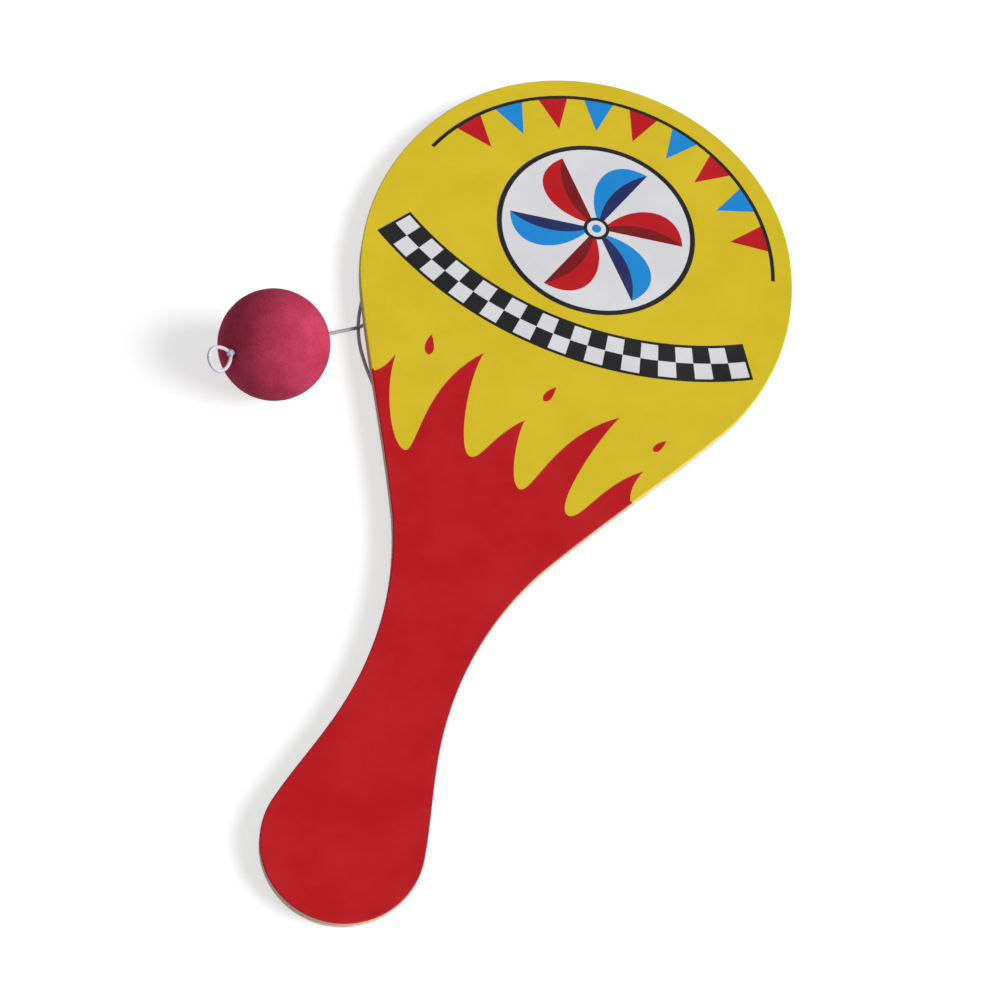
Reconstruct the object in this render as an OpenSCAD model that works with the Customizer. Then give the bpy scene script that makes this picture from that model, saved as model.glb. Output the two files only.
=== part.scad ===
// Paddle ball game: a flat plywood bat, and a sponge ball on an elastic thread stapled to its back.
// The bat lies face up on a table, on its own thread, with the ball beside it.
// The origin is on the back of the board, midway between the staple's legs.
// +Y points to the head, +Z out of the printed face. All sizes are in millimetres.

/* [Board outline] */
// Whole length of the board, head to butt
board_len = 216; // [208:1:228]
// Widest part of the head
head_w = 98.5; // [94:0.5:104]
// Top of the head above the widest line
head_rise = 53.5; // [50:0.5:56]
// Radius of the head's sides
side_r = 61; // [59:0.5:64]
// Narrowest part of the handle, above the end of the butt
neck_rise = 54.5; // [50:0.5:60]
// Width of the handle at its narrowest
neck_w = 19.5; // [17:0.5:23]
// Radius of the hollow curve from the head into the handle
neck_r = 77; // [66:1:80]
// Radius of the hollow curve from the handle into the butt
flare_r = 77; // [60:1:90]
// Width of the round butt
butt_w = 32.5; // [29:0.5:36]

/* [Board layers] */
// Thickness of the back veneer
back_ply_t = 0.8; // [0.6:0.1:1.2]
// Thickness of the middle veneer
core_ply_t = 1.4; // [1:0.1:2.4]
// Thickness of the front veneer
front_ply_t = 0.8; // [0.6:0.1:1.2]
// Thickness of the printed film on the front
film_t = 0.1; // [0.05:0.05:0.2]

/* [Staple] */
// Width over the staple's legs
staple_w = 10; // [8:0.5:13]
// Diameter of the staple's wire
wire_d = 0.7; // [0.5:0.05:0.8]
// Depth of the staple's legs in the board
staple_bite = 2.4; // [1.8:0.1:2.6]
// Centre-line radius of the staple's two bends
staple_bend_r = 0.8; // [0.6:0.1:1]

/* [Ball] */
// Diameter of the ball
ball_d = 24; // [20:0.5:26]
// Ball's centre beside the board's axis, negative to the left
ball_x = -53.8; // [-58:0.1:-52]
// Ball's centre above the widest line, negative towards the handle
ball_y = -52.3; // [-56:0.1:-48]
// Width of the dimple that the thread pulls in the ball at each hole
dimple_d = 3.2; // [3:0.1:4]
// Depth of that dimple
dimple_depth = 0.9; // [0.6:0.1:1.2]

/* [Elastic] */
// Diameter of the elastic thread, slack
thread_d = 0.8; // [0.6:0.05:0.9]
// Width of the knot that stops the thread at the ball
stop_knot_d = 1.9; // [1.6:0.1:2.2]
// Width of the knot beside the staple
anchor_knot_d = 1.7; // [1.5:0.1:1.8]
// Length of that knot
anchor_knot_len = 2.6; // [2:0.1:3.5]
// Length of the loop beyond the ball
loop_len = 6; // [4:0.5:8]
// Width of that loop, between the middles of its strands
loop_w = 5; // [3.5:0.1:6]
// Radius at the middle of the coil's turns
coil_mid_r = 4.7; // [4:0.1:5.5]
// Clear space between turns of the coil, and between its two layers
turn_gap = 0.45; // [0.42:0.01:0.6]
// Turns in each of the coil's two layers
layer_turns = 2; // [1:1:4]

/* [Hidden] */

// Play of the thread in the ball's hole, and of the staple's legs in the wood
hole_play = 0.05;
leg_play = 0.02;
// Air between faces of pieces that move apart
face_gap = 0.05;
// Air over the coil, under the knot in its dimple, and where the thread crosses itself
coil_air = 0.05;
knot_air = 0.15;
cross_air = 0.1;
// How far cuts run past a face
cut = 0.2;
// Facets of the small rounds, the ball, and the thread's tubes
round_fn = 32;
ball_fn = 96;
thread_sides = 8;
coil_sides = 6;
coil_rings = 24;
// Straight steps in each arc of the outline, from the head to the butt
crown_steps = 18;
side_steps = 14;
hollow_steps = 10;
flare_steps = 5;
butt_steps = 18;
// Straight steps in the thread's tail, its run under the staple, its route and its free stretch
tail_steps = 2;
run_steps = 6;
route_steps = 2;
lead_steps = 5;
// Colours of the thread and of the two outer veneers
thread_colour = [0.84, 0.81, 0.86];
veneer_colour = [0.86, 0.78, 0.64];

head_half = head_w / 2;
neck_half = neck_w / 2;
butt_r = butt_w / 2;
ply_t = back_ply_t + core_ply_t + front_ply_t;
board_t = ply_t + film_t;
thread_r = thread_d / 2;
pitch = thread_d + turn_gap;
// The board stands this far off the table, on its coil of thread
lift = thread_d + pitch + coil_air;
floor_z = -lift;
low_z = floor_z + thread_r;

// Outline of the board as tangent arcs. Angles are those of the outward normal.
crown_r = (2 * head_half * side_r - head_half * head_half - head_rise * head_rise)
    / (2 * (side_r - head_rise));
crown_c = [0, head_rise - crown_r];
side_c = [head_half - side_r, 0];
butt_c = [0, head_rise - board_len + butt_r];
shoulder_a = atan2(crown_c.y - side_c.y, crown_c.x - side_c.x);
neck_y = head_rise - board_len + neck_rise;
// The largest hollow round that touches the neck and still clears a full round by a straight line
function hollow_room(full_c, full_r) =
    let (across = neck_half - full_c.x, along = neck_y - full_c.y)
    (across * across + along * along - full_r * full_r) / (2 * (full_r - across));
neck_fit_r = min(neck_r, hollow_room(side_c, side_r));
flare_fit_r = min(flare_r, hollow_room(butt_c, butt_r));
neck_c = [neck_half + neck_fit_r, neck_y];
flare_c = [neck_half + flare_fit_r, neck_y];

// Normal of the straight line that touches a full round and a hollow one
function line_a(full_c, full_r, hollow_c, hollow_r, way) =
    let (v = hollow_c - full_c)
    atan2(v.y, v.x) + way * acos(min(1, (full_r + hollow_r) / norm(v)));
flank_a = line_a(side_c, side_r, neck_c, neck_fit_r, 1);
flare_a = line_a(butt_c, butt_r, flare_c, flare_fit_r, -1);

function arc(c, r, from, to, steps, last) =
    [for (k = [0 : steps - (last ? 0 : 1)])
        let (a = from + (to - from) * k / steps) c + r * [cos(a), sin(a)]];
function right_half() = concat(
    arc(crown_c, crown_r, 90, shoulder_a, crown_steps, false),
    arc(side_c, side_r, shoulder_a, flank_a, side_steps, true),
    arc(neck_c, -neck_fit_r, flank_a, 0, hollow_steps, false),
    arc(flare_c, -flare_fit_r, 0, flare_a, flare_steps, true),
    arc(butt_c, butt_r, flare_a, -90, butt_steps, true)
);
function whole_outline() =
    let (half = right_half(), n = len(half))
    concat(half, [for (k = [n - 2 : -1 : 1]) [-half[k].x, half[k].y]]);

module board_layer(z, t) {
    translate([0, 0, z]) linear_extrude(height = t) polygon(whole_outline());
}

// Staple: its crown lies across the back, over the thread, and its legs stop short of the printed face
wire_r = wire_d / 2;
crown_z = -thread_d - coil_air - wire_r;
leg_x = (staple_w - wire_d) / 2;
// What is left of the wire's radius at the point of each leg
tip_share = 0.25;

module leg_holes() {
    for (side = [-1, 1])
        translate([side * leg_x, 0, -cut])
            cylinder(r = wire_r + leg_play, h = cut + staple_bite + leg_play, $fn = round_fn);
}

module staple_shape() {
    straight = 2 * (leg_x - staple_bend_r);
    translate([-straight / 2, 0, crown_z]) rotate([0, 90, 0])
        cylinder(r = wire_r, h = straight, $fn = round_fn);
    for (side = [0, 1]) mirror([side, 0, 0]) {
        translate([leg_x - staple_bend_r, 0, crown_z + staple_bend_r]) rotate([90, 0, 0])
            rotate([0, 0, -90]) rotate_extrude(angle = 90, $fn = round_fn)
                translate([staple_bend_r, 0]) circle(r = wire_r, $fn = round_fn);
        leg = staple_bite - crown_z - staple_bend_r - wire_d;
        translate([leg_x, 0, crown_z + staple_bend_r]) cylinder(r = wire_r, h = leg, $fn = round_fn);
        translate([leg_x, 0, staple_bite - wire_d])
            cylinder(r1 = wire_r, r2 = wire_r * tip_share, h = wire_d, $fn = round_fn);
    }
}

// Thread: a tube swept along points, with square ends and a flat underneath
function unit(v) = v / norm(v);
function heading(path, k) =
    let (last = len(path) - 1)
    unit(path[min(k + 1, last)] - path[max(k - 1, 0)]);
function ring(p, t, up, r, n) =
    let (u = unit(cross(t, up)), v = cross(u, t))
    [for (k = [0 : n - 1]) let (a = 360 * (k + 0.5) / n - 90) p + r * (cos(a) * u + sin(a) * v)];
function tube_points(path, up, r, n) =
    [for (k = [0 : len(path) - 1]) each ring(path[k], heading(path, k), up, r, n)];
function tube_faces(rings, n) = concat(
    [[for (k = [0 : n - 1]) k]],
    [for (j = [0 : rings - 2], k = [0 : n - 1]) let (m = (k + 1) % n, a = j * n, b = (j + 1) * n)
        each [[a + k, b + k, a + m], [a + m, b + k, b + m]]],
    [[for (k = [n - 1 : -1 : 0]) (rings - 1) * n + k]]
);
module tube(path, up, n) {
    polyhedron(points = tube_points(path, up, thread_r, n), faces = tube_faces(len(path), n));
}

// A smooth line through hand-placed points
function between(a, b, c, d, t) =
    (2 * b + (c - a) * t + (2 * a - 5 * b + 4 * c - d) * t * t + (3 * b - a - 3 * c + d) * t * t * t) / 2;
function smooth(pts, steps) =
    let (last = len(pts) - 1)
    concat([for (k = [0 : last - 1], s = [0 : steps - 1])
        between(pts[max(k - 1, 0)], pts[k], pts[k + 1], pts[min(k + 2, last)], s / steps)], [pts[last]]);
function path_len(path, k = 0) =
    k >= len(path) - 1 ? 0 : norm(path[k + 1] - path[k]) + path_len(path, k + 1);

// The coil winds in over its top layer, drops to the table in a half turn, and winds out again.
// The drop bends inwards, clear of the turns beside it.
coil_in_r = coil_mid_r - layer_turns * pitch / 2;
coil_out_r = coil_mid_r + layer_turns * pitch / 2;
// The coil lies this far below the staple, and its outer turn is in line with the thread from there
coil_drop = 18;
coil_c = [-coil_out_r, -coil_drop];
coil_turns = 2 * layer_turns + 0.5;
top_z = low_z + pitch;
function coil_r(turn) =
    turn < layer_turns ? coil_out_r - turn * pitch :
    turn < layer_turns + 0.5 ? coil_in_r - turn_gap / 2 * sin(360 * (turn - layer_turns)) :
    coil_in_r + (turn - layer_turns - 0.5) * pitch;
function coil_z(turn) =
    let (s = max(0, min(1, (turn - layer_turns) * 2)))
    top_z - pitch * s * s * (3 - 2 * s);
function coil_point(turn) =
    [coil_c.x + coil_r(turn) * cos(360 * turn), coil_c.y - coil_r(turn) * sin(360 * turn), coil_z(turn)];
coil_end = coil_point(coil_turns) + [0, thread_d, 0];
coil_path = concat(
    [coil_point(0) + [0, thread_d, 0]],
    [for (k = [0 : coil_turns * coil_rings]) coil_point(k / coil_rings)],
    [coil_end]
);
// Least clear space between stretches of the coil more than a third of a turn apart
far_apart = coil_rings / 3;
coil_least_gap = min([for (i = [0 : len(coil_path) - 1]) for (j = [i + far_apart : len(coil_path) - 1])
    norm(coil_path[i] - coil_path[j])]) - thread_d;
echo(coil_least_gap = coil_least_gap, coil_length = path_len(coil_path));

// Route of the slack thread on the table, from the coil round to the board's left edge.
// It shows past the edge on its way down, loops back under the board and crosses over itself.
slack_route = [
    [-12.6, -15], [-13.6, -11], [-16, -6.5], [-20, -3], [-25, -1], [-30.5, -1], [-35.5, -3.5], [-39.5, -8],
    [-42.2, -13.5], [-43.2, -19.5], [-42.6, -25], [-41.2, -31.5], [-39, -36.7], [-36.2, -40.9], [-33, -44.7],
    [-29.5, -48.4], [-26.6, -52], [-23.4, -55.2], [-19.4, -56], [-16, -53.8], [-14.6, -49.8], [-15, -45],
    [-17, -40], [-20.4, -35.2], [-24.4, -31.2], [-29, -28.3], [-33.4, -27.4]
];
// Where the thread rides over itself at the board's edge, and leaves for the ball
cross_rise = thread_d + cross_air;
exit_point = [-40.4, -34, low_z + cross_rise];
rise_shares = [0.5, 0.9];
rise_route = [
    [-36.4, -29, low_z + cross_rise * rise_shares[0]],
    [-38.7, -31.7, low_z + cross_rise * rise_shares[1]]
];
// The free thread turns in a round elbow there, and runs straight to the ball's centre
elbow_r = thread_r;
lead_v = [ball_x, ball_y, floor_z + ball_d / 2] - exit_point;
lead_reach = norm(lead_v);
lead_yaw = atan2(lead_v.y, lead_v.x);
lead_slope = asin(lead_v.z / lead_reach);
into_exit = unit(exit_point - rise_route[1]);
side_end = exit_point - into_exit * (elbow_r + face_gap);
side_path = concat(
    [coil_end, coil_end + [0, thread_d, 0]],
    smooth(concat([for (p = slack_route) [p.x, p.y, low_z]], rise_route, [side_end]), route_steps)
);
near_hole = lead_reach - ball_d / 2;
far_hole = lead_reach + ball_d / 2;

// Places the ball's end of the thread: local +X runs from the exit point through the ball
module along_lead() {
    translate(exit_point) rotate([0, -lead_slope, lead_yaw]) children();
}

// The ball's hole, the mouth of its dimples as cut, and where the thread ends under its knot
hole_d = thread_d + 2 * hole_play;
dimple_mouth_d = dimple_d + (dimple_d - hole_d) * cut / dimple_depth;
core_end = far_hole - dimple_depth + knot_air;
knot_seat = core_end + stop_knot_d / 2;
// Middle of the knot above the staple, and the length of the tail beyond it
anchor_knot_y = 3.4;
tail_len = 4;
tail_start = anchor_knot_y + anchor_knot_len / 2;
run_start = anchor_knot_y - anchor_knot_len / 2;

// Loop beyond the ball, a teardrop whose two strands start on the knot
loop_steps = 20;
// Where a strand starts on the teardrop's curve, the turn of the loop's plane and its lean, in degrees
loop_from = 36;
loop_roll = -28;
loop_lean = 10;
// The widest value of the teardrop's curve, so that loop_w is its true width
drop_peak_share = 0.863;
function drop_point(t) =
    [loop_len * (1 - cos(t)) / 2, loop_w / 2 / drop_peak_share * sin(t) * sqrt(abs(sin(t / 2))), 0];
loop_path = [for (k = [0 : loop_steps]) drop_point(loop_from + (360 - 2 * loop_from) * k / loop_steps)];

module printed_film() {
    color([0.81, 0.72, 0.17]) board_layer(ply_t, film_t);
}

module front_ply() {
    color(veneer_colour) difference() {
        board_layer(back_ply_t + core_ply_t, front_ply_t);
        leg_holes();
    }
}

module core_ply() {
    color([0.78, 0.68, 0.52]) difference() {
        board_layer(back_ply_t, core_ply_t);
        leg_holes();
    }
}

module back_ply() {
    color(veneer_colour) difference() {
        board_layer(0, back_ply_t);
        leg_holes();
    }
}

module staple() {
    color([0.75, 0.75, 0.77]) staple_shape();
}

module anchor_knot() {
    color(thread_colour) translate([0, anchor_knot_y, -anchor_knot_d / 2 - coil_air])
        scale([1, anchor_knot_len / anchor_knot_d, 1]) sphere(d = anchor_knot_d, $fn = round_fn);
}

module elastic_tail() {
    color(thread_colour)
        tube([for (k = [0 : tail_steps]) [0, tail_start + tail_len * k / tail_steps, top_z]], [0, 0, 1],
            thread_sides);
}

module elastic_anchor_run() {
    run_len = run_start - coil_path[0].y;
    color(thread_colour)
        tube([for (k = [0 : run_steps]) [0, run_start - run_len * k / run_steps, top_z]], [0, 0, 1],
            thread_sides);
}

module elastic_coil() {
    color(thread_colour) tube(coil_path, [0, 0, 1], coil_sides);
}

module elastic_side_run() {
    color(thread_colour) tube(side_path, [0, 0, 1], thread_sides);
}

module elastic_bend() {
    color(thread_colour) translate(exit_point) sphere(r = elbow_r, $fn = round_fn);
}

module elastic_lead() {
    from = elbow_r + face_gap;
    to = near_hole + dimple_depth - face_gap;
    color(thread_colour) along_lead()
        tube([for (k = [0 : lead_steps]) [from + (to - from) * k / lead_steps, 0, 0]], [0, 0, 1],
            thread_sides);
}

module ball() {
    color([0.85, 0.26, 0.38]) along_lead() difference() {
        translate([lead_reach, 0, 0]) rotate([0, 90, 0]) sphere(d = ball_d, $fn = ball_fn);
        translate([near_hole - cut, 0, 0]) rotate([0, 90, 0])
            cylinder(d = hole_d, h = ball_d + 2 * cut, $fn = round_fn);
        for (side = [0, 1]) translate([lead_reach, 0, 0]) mirror([side, 0, 0]) rotate([0, 90, 0])
            translate([0, 0, ball_d / 2 - dimple_depth])
                cylinder(d1 = hole_d, d2 = dimple_mouth_d, h = dimple_depth + cut, $fn = round_fn);
    }
}

module elastic_core() {
    from = near_hole + dimple_depth;
    color(thread_colour) along_lead() translate([from, 0, 0]) rotate([0, 90, 0])
        cylinder(r = thread_r, h = core_end - from, $fn = round_fn);
}

module stop_knot() {
    color(thread_colour) along_lead() translate([knot_seat, 0, 0])
        sphere(d = stop_knot_d, $fn = round_fn);
}

module end_loop() {
    color(thread_colour) along_lead() translate([knot_seat, 0, 0])
        rotate([loop_roll, 0, 0]) rotate([0, 0, loop_lean]) tube(loop_path, [0, 0, 1], thread_sides);
}

printed_film();
front_ply();
core_ply();
back_ply();
staple();
anchor_knot();
elastic_tail();
elastic_anchor_run();
elastic_coil();
elastic_side_run();
elastic_bend();
elastic_lead();
ball();
elastic_core();
stop_knot();
end_loop();
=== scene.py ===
import math

import bpy
from mathutils import Matrix, Quaternion, Vector, kdtree, noise


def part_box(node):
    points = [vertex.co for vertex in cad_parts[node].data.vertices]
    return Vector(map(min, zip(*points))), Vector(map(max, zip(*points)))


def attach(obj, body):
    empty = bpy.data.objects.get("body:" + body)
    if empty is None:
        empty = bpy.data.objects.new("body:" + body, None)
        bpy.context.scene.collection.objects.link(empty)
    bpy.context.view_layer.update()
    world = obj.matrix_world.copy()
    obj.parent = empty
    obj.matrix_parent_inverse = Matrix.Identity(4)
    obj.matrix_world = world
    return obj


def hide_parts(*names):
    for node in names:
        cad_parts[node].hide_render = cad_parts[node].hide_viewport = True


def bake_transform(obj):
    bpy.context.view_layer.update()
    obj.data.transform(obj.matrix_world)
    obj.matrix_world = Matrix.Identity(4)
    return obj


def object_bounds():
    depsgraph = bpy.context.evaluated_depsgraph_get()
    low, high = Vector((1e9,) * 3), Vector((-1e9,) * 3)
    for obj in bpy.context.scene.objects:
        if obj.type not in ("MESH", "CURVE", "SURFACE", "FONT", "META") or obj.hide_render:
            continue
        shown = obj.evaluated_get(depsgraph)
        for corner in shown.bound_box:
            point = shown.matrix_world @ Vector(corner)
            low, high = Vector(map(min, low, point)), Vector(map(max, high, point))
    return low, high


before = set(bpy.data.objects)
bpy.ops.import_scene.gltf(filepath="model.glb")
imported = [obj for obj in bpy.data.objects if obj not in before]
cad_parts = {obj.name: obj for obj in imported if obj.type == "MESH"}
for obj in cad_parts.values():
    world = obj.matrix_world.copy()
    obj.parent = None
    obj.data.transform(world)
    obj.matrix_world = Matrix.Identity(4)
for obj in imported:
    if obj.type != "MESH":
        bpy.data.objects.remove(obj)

for stray in ("Cube", "Light", "Camera"):
    if stray in bpy.data.objects:
        bpy.data.objects.remove(bpy.data.objects[stray])

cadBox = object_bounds()
mm = 0.001


# Camera: seen from the photograph's place, turned to the game and zoomed in on it
cameraLook = {"place": (9.6, -284.5, 406.8), "aim": (3, -61.5, 0), "roll": 20.3, "lens": 78}  # mm, degrees


def makeCamera(look):
    place = Vector(look["place"]) * mm
    bpy.ops.object.camera_add(location=place)
    camera = bpy.context.object
    camera.rotation_mode = "QUATERNION"
    towards = (Vector(look["aim"]) * mm - place).to_track_quat("-Z", "Y")
    camera.rotation_quaternion = towards @ Quaternion((0, 0, 1), math.radians(look["roll"]))
    camera.data.lens = look["lens"]
    camera.data.clip_start = 0.01
    bpy.context.scene.camera = camera


makeCamera(cameraLook)
print("camera is up")


# Shading helpers. Colours are given as on a screen, 0 to 255.
# Textures are scaled in features per millimetre.
def tint(red, green, blue):
    levels = [value / 255 for value in (red, green, blue)]
    return tuple(v / 12.92 if v <= 0.04045 else ((v + 0.055) / 1.055) ** 2.4 for v in levels) + (1,)


class Shade:
    def __init__(self, name):
        self.material = bpy.data.materials.new(name)
        self.material.use_nodes = True
        self.tree = self.material.node_tree
        self.shader = self.tree.nodes["Principled BSDF"]

    def add(self, kind, settings=None, **inputs):
        made = self.tree.nodes.new("ShaderNode" + kind)
        for key, value in (settings or {}).items():
            setattr(made, key, value)
        for key, value in inputs.items():
            self.feed(made.inputs[key.replace("_", " ")], value)
        return made

    def feed(self, socket, value):
        if isinstance(value, bpy.types.NodeSocket):
            self.tree.links.new(value, socket)
        else:
            socket.default_value = value

    def coords(self, stretch=(1, 1, 1), kind="Object", unit=1000):
        source = self.add("TexCoord").outputs[kind]
        scale = [unit * s for s in stretch]
        return self.add("Mapping", Vector=source, Scale=scale).outputs["Vector"]

    def noiseAt(self, where, scale, detail=4.0, rough=0.5):
        made = self.add("TexNoise", Vector=where, Scale=scale, Detail=detail, Roughness=rough)
        return made.outputs["Fac"]

    def cellsAt(self, where, scale):
        return self.add("TexVoronoi", Vector=where, Scale=scale).outputs["Distance"]

    def ranged(self, value, low, high, toLow=0.0, toHigh=1.0):
        made = self.add("MapRange", Value=value)
        for key, number in zip(("From Min", "From Max", "To Min", "To Max"), (low, high, toLow, toHigh)):
            made.inputs[key].default_value = number
        return made.outputs["Result"]

    def maths(self, how, first, second=0.0):
        made = self.add("Math", {"operation": how})
        self.feed(made.inputs[0], first)
        self.feed(made.inputs[1], second)
        return made.outputs["Value"]

    def mixed(self, share, first, second):
        made = self.add("Mix", {"data_type": "RGBA"})
        self.feed(made.inputs["Factor"], share)
        self.feed(made.inputs["A"], first)
        self.feed(made.inputs["B"], second)
        return made.outputs["Result"]

    def bump(self, height, strength, depth, under=None):
        made = self.add("Bump", Strength=strength, Distance=depth, Height=height)
        if under is not None:
            self.feed(made.inputs["Normal"], under)
        return made.outputs["Normal"]

    def done(self, **inputs):
        for key, value in inputs.items():
            self.feed(self.shader.inputs[key.replace("_", " ")], value)
        return self.material


# Printed ink: flat colour with the mottle of the press, a satin film, and the veneer's grain under it
printLook = {"mottle": 0.022, "deeper": 2.4, "rough": (0.42, 0.54), "peel": 0.14, "grain": 0.10}


def printMaterial(name, colour):
    shade = Shade(name)
    where = shade.coords()
    along = shade.coords((1, 0.05, 1))
    mottle = shade.noiseAt(where, 0.09, 5, 0.6)
    speck = shade.noiseAt(where, 2.6, 3, 0.6)
    fibre = shade.noiseAt(along, 1.5, 5, 0.6)
    base = tint(*colour)
    deep = tuple(c * (1 - printLook["deeper"] * printLook["mottle"]) for c in base[:3]) + (1,)
    pale = tuple(min(1, c * (1 + printLook["mottle"]) + 0.006) for c in base[:3]) + (1,)
    body = shade.mixed(shade.ranged(mottle, 0.35, 0.65), deep, pale)
    body = shade.mixed(shade.ranged(speck, 0.62, 0.8, 0, 0.12), body, deep)
    body = shade.mixed(shade.ranged(fibre, 0.45, 0.75, 0, 0.16), body, deep)
    rough = shade.ranged(mottle, 0.3, 0.7, *printLook["rough"])
    peel = shade.bump(shade.noiseAt(where, 1.4, 2), printLook["peel"], 0.00004)
    grain = shade.bump(fibre, printLook["grain"], 0.00006, peel)
    return shade.done(Base_Color=body, Roughness=rough, Normal=grain, Specular_IOR_Level=0.16)


inks = {
    "yellow": (209, 184, 34), "red": (178, 13, 24), "deepRed": (112, 8, 16), "blue": (24, 132, 206),
    "navy": (26, 36, 88), "black": (14, 14, 16), "white": (214, 214, 218),
}
ink = {name: printMaterial("print_" + name, colour) for name, colour in inks.items()}


# Wood: fibres run along one axis of the board, and the pores and rings follow them
woods = {
    "faceVeneer": {"along": "Y", "light": (243, 227, 206), "dark": (219, 193, 162), "pore": (166, 128, 94)},
    "coreVeneer": {"along": "X", "light": (231, 210, 184), "dark": (200, 169, 134), "pore": (144, 108, 78)},
}


def woodMaterial(name, look):
    shade = Shade(name)
    fine = (1, 0.035, 1) if look["along"] == "Y" else (0.035, 1, 1)
    broad = (1, 0.11, 1) if look["along"] == "Y" else (0.11, 1, 1)
    fibres = shade.noiseAt(shade.coords(fine), 5.5, 6, 0.62)
    rings = shade.noiseAt(shade.coords(broad), 0.045, 2, 0.4)
    bands = shade.maths("PINGPONG", shade.maths("MULTIPLY", rings, 16.0), 1.0)
    bands = shade.maths("POWER", bands, 2.5)
    pores = shade.cellsAt(shade.coords(fine), 2.3)
    poreMark = shade.ranged(pores, 0.12, 0.2, 1, 0)
    flecks = shade.ranged(shade.noiseAt(shade.coords(fine), 12, 2), 0.58, 0.7)
    light, dark, pore = tint(*look["light"]), tint(*look["dark"]), tint(*look["pore"])
    body = shade.mixed(shade.ranged(fibres, 0.3, 0.72), light, dark)
    body = shade.mixed(shade.maths("MULTIPLY", bands, 0.75), body, dark)
    body = shade.mixed(shade.maths("MULTIPLY", flecks, 0.2), body, light)
    body = shade.mixed(shade.maths("MULTIPLY", poreMark, 0.28), body, pore)
    height = shade.maths("SUBTRACT", fibres, shade.maths("MULTIPLY", poreMark, 0.6))
    return shade.done(Base_Color=body, Roughness=shade.ranged(fibres, 0.3, 0.7, 0.62, 0.8),
                      Normal=shade.bump(height, 0.55, 0.00008), Specular_IOR_Level=0.3)


wood = {name: woodMaterial(name, look) for name, look in woods.items()}


# Elastic thread: a yarn cover wrapped round it.
# Its UV runs once round the thread, and in millimetres along it.
# The lead's yarn is a darker copy of the slack yarn: painted shade on the lead.
yarns = {
    "slack": {"light": (222, 216, 227), "shade": (163, 155, 178), "fluff": (236, 232, 240)},
    "shadedLead": {"light": (172, 168, 174), "shade": (108, 102, 112), "fluff": (198, 194, 200)},
}
yarnWrap = 0.27


def yarnMaterial(name, look):
    shade = Shade(name)
    split = shade.add("SeparateXYZ", Vector=shade.coords(kind="UV", unit=1))
    around = shade.maths("MULTIPLY", split.outputs["X"], 2 * math.pi)
    along = shade.maths("MULTIPLY", split.outputs["Y"], 2 * math.pi / yarnWrap)
    wraps = shade.maths("COSINE", shade.maths("SUBTRACT", around, along))
    strands = shade.maths("ADD", shade.maths("MULTIPLY", around, 3), shade.maths("MULTIPLY", along, 0.5))
    twist = shade.maths("COSINE", strands)
    hairs = shade.noiseAt(shade.coords(), 9, 3, 0.7)
    patches = shade.noiseAt(shade.coords(), 0.5, 3, 0.6)
    light, dark = tint(*look["light"]), tint(*look["shade"])
    # The grooves between the wraps are darkened towards the shade colour: painted shade
    body = shade.mixed(shade.ranged(wraps, -1.0, 0.1), dark, light)
    body = shade.mixed(shade.ranged(twist, 0.2, 1.0, 0, 0.22), body, dark)
    body = shade.mixed(shade.ranged(patches, 0.45, 0.7, 0, 0.3), body, dark)
    body = shade.mixed(shade.ranged(hairs, 0.5, 0.8, 0, 0.5), body, tint(*look["fluff"]))
    height = shade.maths("ADD", shade.maths("MULTIPLY", twist, 0.35), shade.maths("MULTIPLY", hairs, 0.8))
    return shade.done(Base_Color=body, Roughness=0.86, Normal=shade.bump(height, 0.45, 0.00005),
                      Sheen_Weight=0.2, Sheen_Roughness=0.5, Specular_IOR_Level=0.2)


yarn = {name: yarnMaterial(name + "Yarn", look) for name, look in yarns.items()}


# Sponge rubber: fine open cells, darkened with painted shade, and the colour clouded as the dye took
spongeLook = {"light": (182, 60, 91), "deep": (161, 42, 69), "cell": (108, 18, 40)}


def spongeMaterial():
    shade = Shade("spongeRubber")
    where = shade.coords()
    clouds = shade.noiseAt(where, 0.16, 4, 0.55)
    grit = shade.noiseAt(where, 3.4, 4, 0.65)
    large = shade.ranged(shade.cellsAt(where, 2.1), 0.12, 0.3, 1, 0)
    small = shade.ranged(shade.cellsAt(where, 4.6), 0.1, 0.26, 0.6, 0)
    pits = shade.maths("MAXIMUM", large, small)
    light, deep, cell = (tint(*spongeLook[key]) for key in ("light", "deep", "cell"))
    body = shade.mixed(shade.ranged(clouds, 0.32, 0.68), light, deep)
    body = shade.mixed(shade.ranged(grit, 0.45, 0.75, 0, 0.3), body, deep)
    # The pits take the dark cell colour: painted shade in the open cells
    body = shade.mixed(shade.maths("MULTIPLY", pits, 0.5), body, cell)
    height = shade.maths("SUBTRACT", grit, shade.maths("MULTIPLY", pits, 0.8))
    return shade.done(Base_Color=body, Roughness=0.92, Normal=shade.bump(height, 0.5, 0.00012),
                      Specular_IOR_Level=0.12)


# Staple: drawn steel wire, dulled in patches
steelLook = {"bright": (176, 177, 183), "stain": (132, 130, 128)}


def steelMaterial():
    shade = Shade("stapleSteel")
    drawn = shade.noiseAt(shade.coords((0.12, 1, 1)), 9, 4, 0.6)
    stain = shade.noiseAt(shade.coords(), 1.1, 4, 0.6)
    bright, dull = tint(*steelLook["bright"]), tint(*steelLook["stain"])
    body = shade.mixed(shade.ranged(stain, 0.45, 0.7), bright, dull)
    return shade.done(Base_Color=body, Metallic=1.0, Roughness=shade.ranged(drawn, 0.3, 0.7, 0.22, 0.42),
                      Normal=shade.bump(drawn, 0.2, 0.00002))


sponge, steel = spongeMaterial(), steelMaterial()
print("materials are mixed")


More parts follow.
